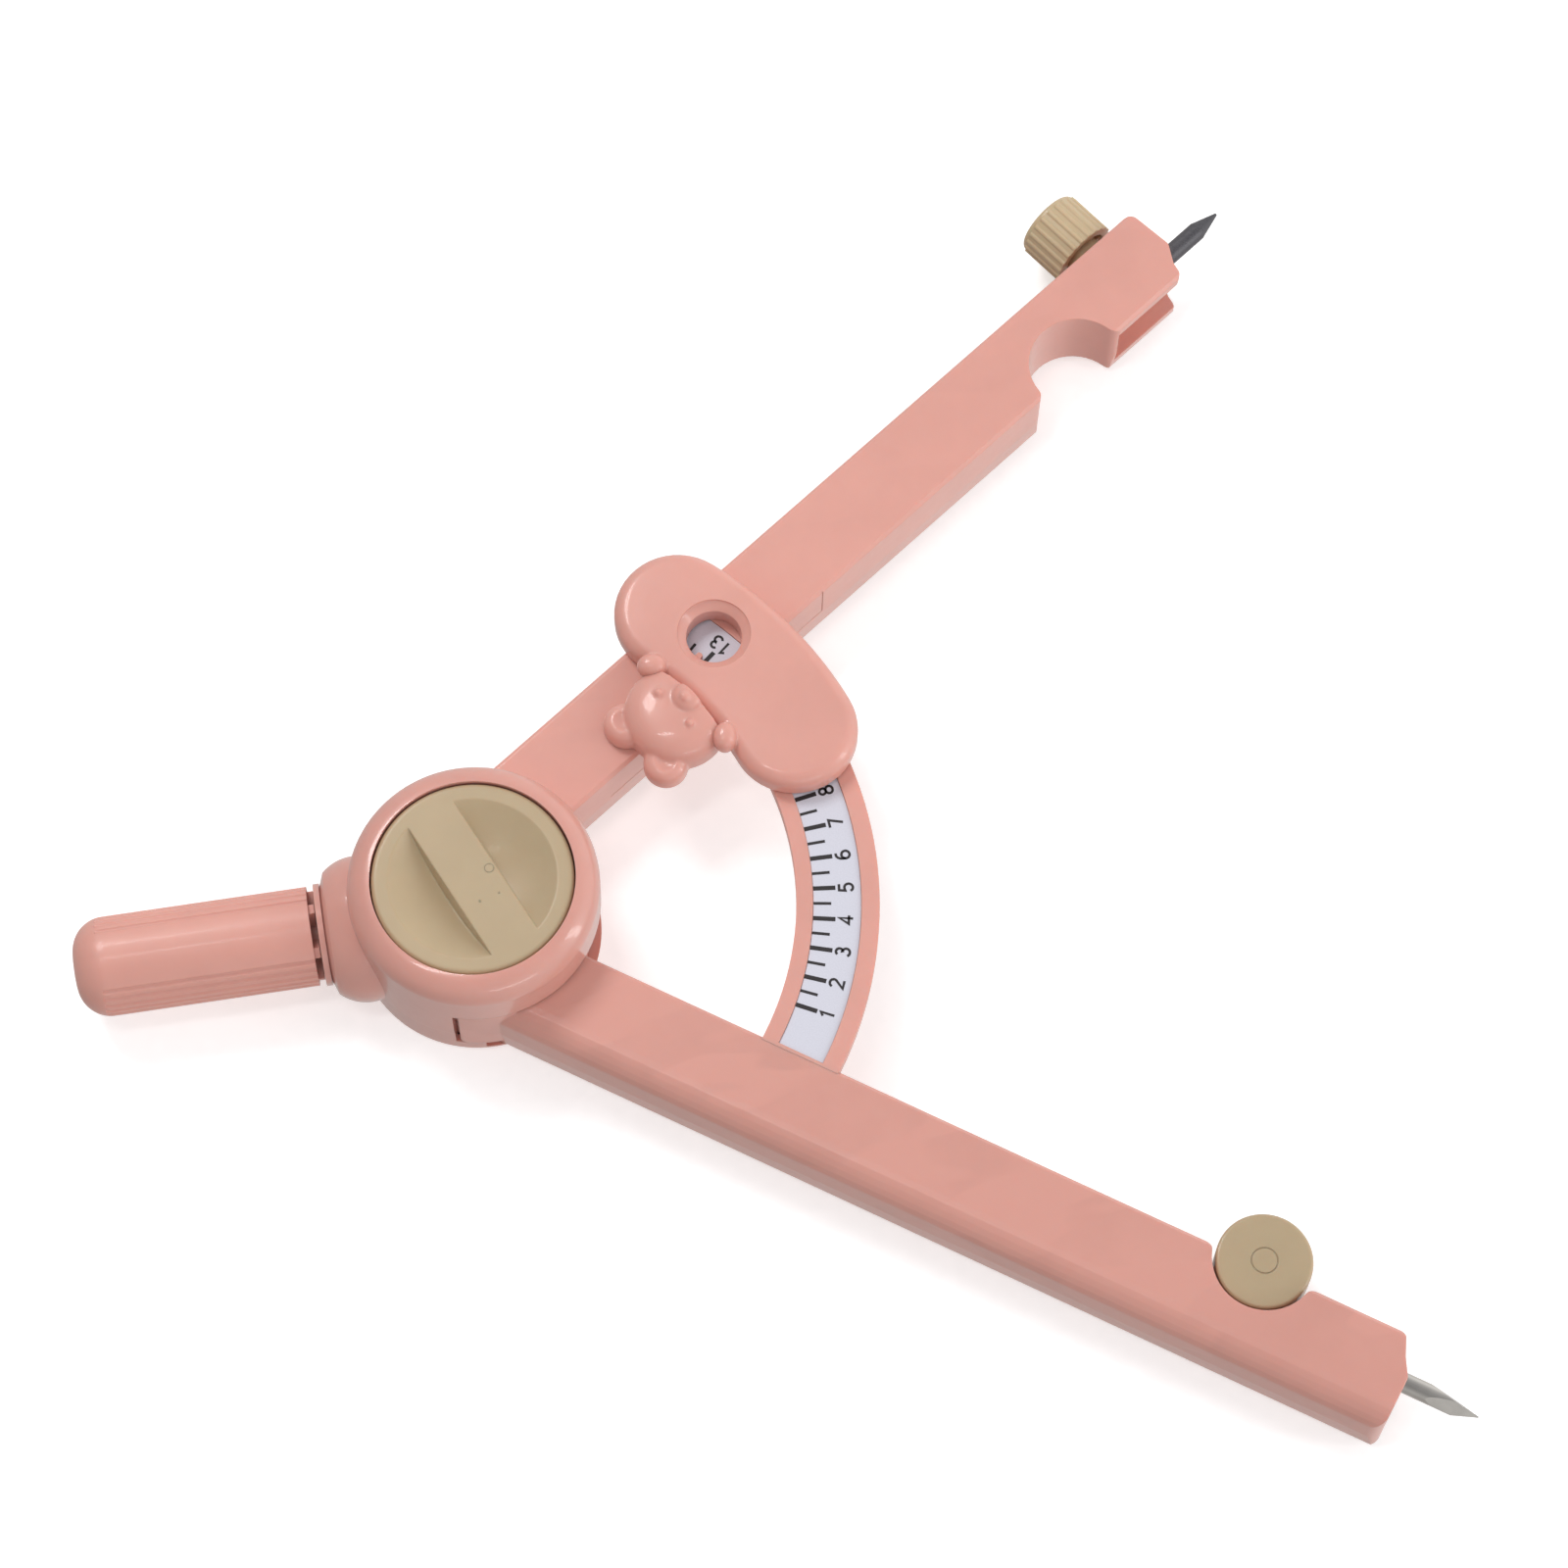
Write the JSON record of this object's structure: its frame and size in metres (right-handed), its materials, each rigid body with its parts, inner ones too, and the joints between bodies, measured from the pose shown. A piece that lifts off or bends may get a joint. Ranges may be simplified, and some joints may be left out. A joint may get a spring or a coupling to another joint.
{
  "type": "drawing compass",
  "caption": "Safety drawing compass with centred handle, lock dial, scale arc under a windowed teddy cover, clamped lead and wheel-retracted needle.",
  "frame": {"origin": "centre of the hub's flat back face, on the hinge axis", "axes": "+Z out of the lock dial's face along the hinge axis, -X along the handle, +X between the two legs"},
  "size_m": [0.1279, 0.1354, 0.0164],
  "materials": {
    "pink_housing": "satin-gloss moulded ABS, blush pink",
    "pink_legs": "satin-gloss moulded ABS, blush pink",
    "pink_handle": "satin-gloss fluted ABS, blush pink",
    "pink_cover": "satin-gloss moulded ABS, blush pink",
    "cream_plastic": "satin moulded plastic, cream",
    "steel": "zinc-plated steel",
    "needle_steel": "bright nickel-plated steel",
    "spring_steel": "spring steel",
    "brass": "turned brass",
    "washer_nylon": "natural nylon",
    "label_paper": "printed film, bluish white",
    "graphite": "graphite, satin grey",
    "acetal": "natural acetal"
  },
  "bodies": {
    "head": {"front_cover": "pink_housing", "back_cover": "pink_housing", "cover_screws": "steel", "lock_bolt": "steel", "eye_washer": "washer_nylon", "handle_spindle": "steel"},
    "handle": {"handle": "pink_handle"},
    "dial_spring": {"disc_spring": "spring_steel"},
    "dial": {"lock_dial": "cream_plastic", "dial_insert": "brass"},
    "centring_pin": {"centring_pin": "steel"},
    "needle_leg": {"needle_leg": "pink_legs", "channel_plate": "pink_legs", "plate_screws": "steel", "wheel_pin": "steel", "scale_arc": "pink_legs", "scale_label": "label_paper"},
    "needle_wheel": {"needle_wheel": "cream_plastic"},
    "needle_carriage": {"needle_carriage": "acetal", "needle": "needle_steel"},
    "lead_leg": {"lead_leg": "pink_legs", "scale_cover": "pink_cover", "screw_insert": "brass"},
    "lead": {"lead": "graphite"},
    "lead_screw": {"screw_stem": "steel"},
    "lead_knob": {"screw_knob": "cream_plastic"}
  },
  "joints": [
    {"name": "needle_leg_hinge", "type": "hinge", "parent": "head", "child": "needle_leg", "pos_m": [0, 0, 0.0054], "axis": [0, 0, 1], "range_deg": [-2, 34.5]},
    {"name": "lead_leg_hinge", "type": "hinge", "parent": "head", "child": "lead_leg", "pos_m": [0, 0, 0.0054], "axis": [0, 0, -1], "range_deg": [-2, 34.5]},
    {"name": "centring_pin_slide", "type": "slide", "parent": "head", "child": "centring_pin", "axis": [-1, 0, 0], "range_m": [-0.00014, 0.00246]},
    {"name": "handle_spin", "type": "hinge", "parent": "head", "child": "handle", "pos_m": [-0.028, 0, 0.0065], "axis": [-1, 0, 0], "continuous": true},
    {"name": "lock_dial_lift", "type": "slide", "parent": "head", "child": "dial_spring", "axis": [0, 0, 1], "range_m": [0, 0.00035]},
    {"name": "lock_dial_turn", "type": "hinge", "parent": "dial_spring", "child": "dial", "pos_m": [0, 0, 0.014], "axis": [0, 0, 1], "range_deg": [0, 180]},
    {"name": "needle_wheel_turn", "type": "hinge", "parent": "needle_leg", "child": "needle_wheel", "pos_m": [0.07, -0.04804, 0.007], "axis": [0, 0, -1], "range_deg": [0, 164]},
    {"name": "needle_slide", "type": "slide", "parent": "needle_leg", "child": "needle_carriage", "axis": [-0.8211, 0.5707, 0], "range_m": [0, 0.00716]},
    {"name": "lead_slide", "type": "slide", "parent": "lead_leg", "child": "lead", "axis": [0.8211, 0.5707, 0], "range_m": [0, 0.004]},
    {"name": "lead_screw_travel", "type": "slide", "parent": "lead_leg", "child": "lead_screw", "axis": [-0.5707, 0.8211, 0], "range_m": [0, 0.0009]},
    {"name": "lead_screw_turn", "type": "hinge", "parent": "lead_screw", "child": "lead_knob", "pos_m": [0.07198, 0.06464, 0.0054], "axis": [-0.5707, 0.8211, 0], "range_deg": [0, 720]}
  ],
  "couplings": [
    {"joint": "lead_leg_hinge", "follows": "needle_leg_hinge", "ratio": 1},
    {"joint": "centring_pin_slide", "follows": "needle_leg_hinge", "m_per_rad": 0.0040813},
    {"joint": "lock_dial_turn", "follows": "lock_dial_lift", "rad_per_m": 8975.9},
    {"joint": "needle_wheel_turn", "follows": "needle_slide", "rad_per_m": 400},
    {"joint": "lead_screw_turn", "follows": "lead_screw_travel", "rad_per_m": 13963}
  ]
}
